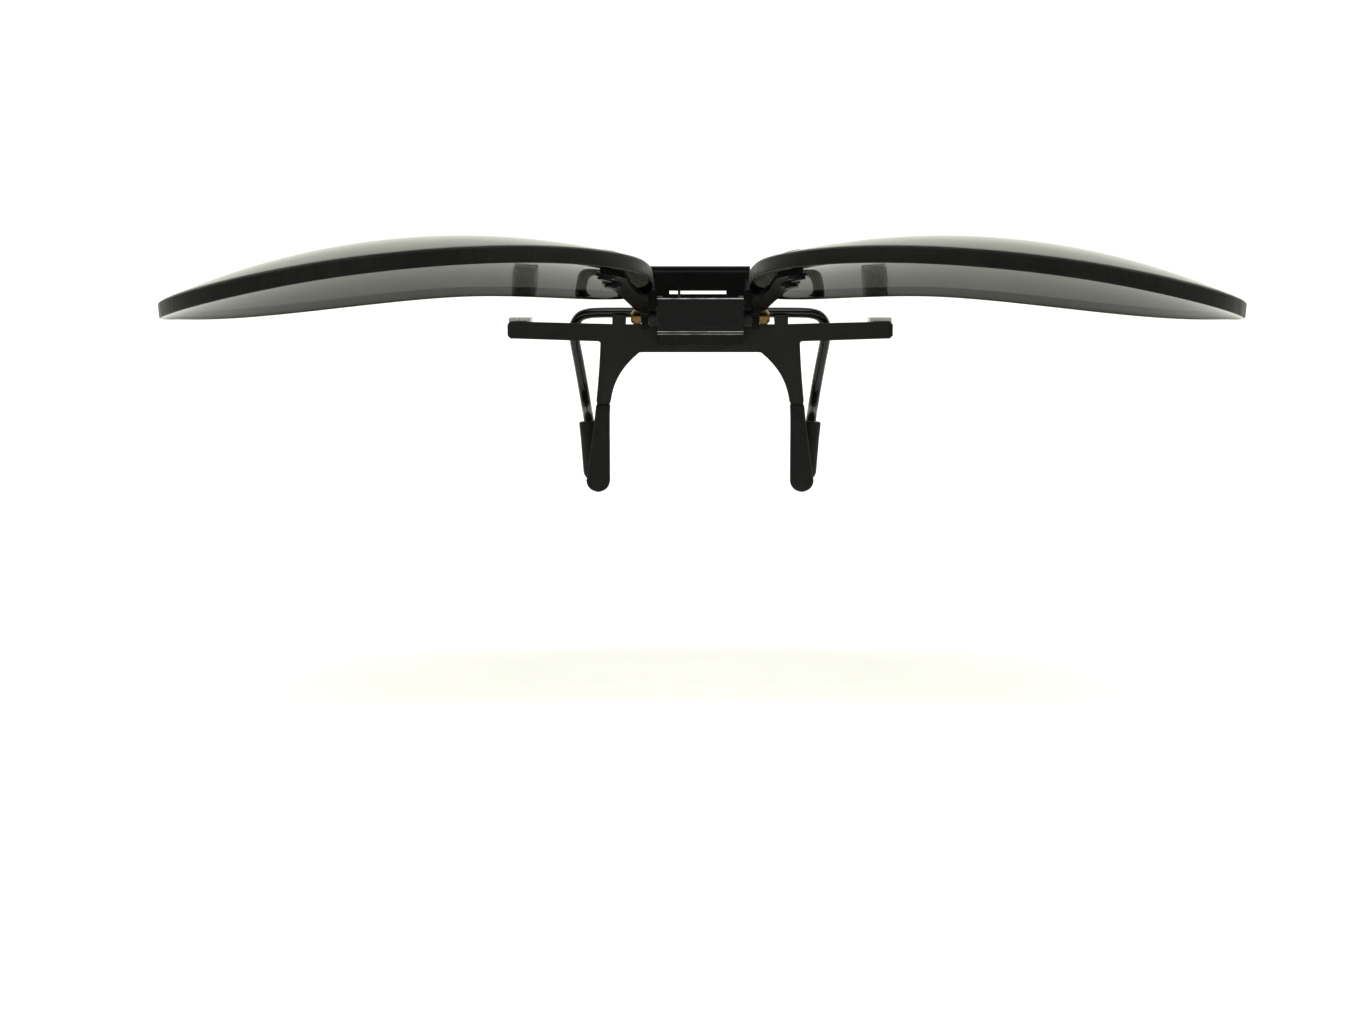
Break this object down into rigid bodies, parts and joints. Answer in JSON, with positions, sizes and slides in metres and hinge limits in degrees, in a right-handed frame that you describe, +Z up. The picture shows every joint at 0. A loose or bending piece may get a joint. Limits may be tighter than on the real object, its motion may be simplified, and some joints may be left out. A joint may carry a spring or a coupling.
{
  "type": "clip-on sunglasses",
  "caption": "Flip-up clip-on sunglasses: tinted aviator lenses on a hinge, with a sprung clamp that grips a glasses bridge from the front and back.",
  "frame": {"origin": "middle of the clip, on the back of the front plate, level with the underside of the brow tabs", "axes": "+X to the wearer's left along the hinge, +Y to the wearer, +Z up the face"},
  "size_m": [0.1384, 0.059, 0.0366],
  "materials": {
    "plate_coat": "matte charcoal coat on steel",
    "housing_coat": "satin black",
    "wire_coat": "gloss black",
    "black_rubber": "matte",
    "clear_vinyl": "cloudy translucent",
    "spring_steel": "bright drawn",
    "blued_steel": "dark oxide, satin",
    "plain_brass": "turned, bright",
    "smoke_lens": "polished polycarbonate, smoke grey-green"
  },
  "bodies": {
    "clip_body": {"front_plate": "plate_coat", "hinge_housing": "housing_coat", "housing_rivets": "housing_coat", "detent_spring": "spring_steel", "prong_boot_left": "black_rubber", "prong_boot_right": "black_rubber", "tab_sleeve_left": "clear_vinyl", "tab_sleeve_right": "clear_vinyl", "clamp_spring": "blued_steel", "shaft_spacer_left": "blued_steel", "shaft_spacer_right": "blued_steel"},
    "rear_clamp": {"rear_wire": "wire_coat", "rear_sleeve_left": "black_rubber", "rear_sleeve_right": "black_rubber", "squeeze_lever": "housing_coat"},
    "lens_carrier": {"flip_shaft": "spring_steel", "shaft_nut_left": "plain_brass", "shaft_nut_right": "plain_brass", "lens_arm_left": "plate_coat", "lens_arm_right": "plate_coat", "lens_left": "smoke_lens", "lens_right": "smoke_lens", "lens_rivets_left": "blued_steel", "lens_rivets_right": "blued_steel", "lens_washers_left": "blued_steel", "lens_washers_right": "blued_steel"}
  },
  "joints": [
    {"name": "lens_flip", "type": "hinge", "parent": "clip_body", "child": "lens_carrier", "pos_m": [0, -0.0029, 0.002], "axis": [1, 0, 0], "range_deg": [0, 95], "deforming": ["detent_spring"]},
    {"name": "clamp_squeeze", "type": "hinge", "parent": "clip_body", "child": "rear_clamp", "pos_m": [0, 0.0016, 0.0025], "axis": [1, 0, 0], "range_deg": [0, 30], "stiffness_Nm_per_rad": 0.02, "springref_deg": -45.84, "deforming": ["clamp_spring"]}
  ]
}
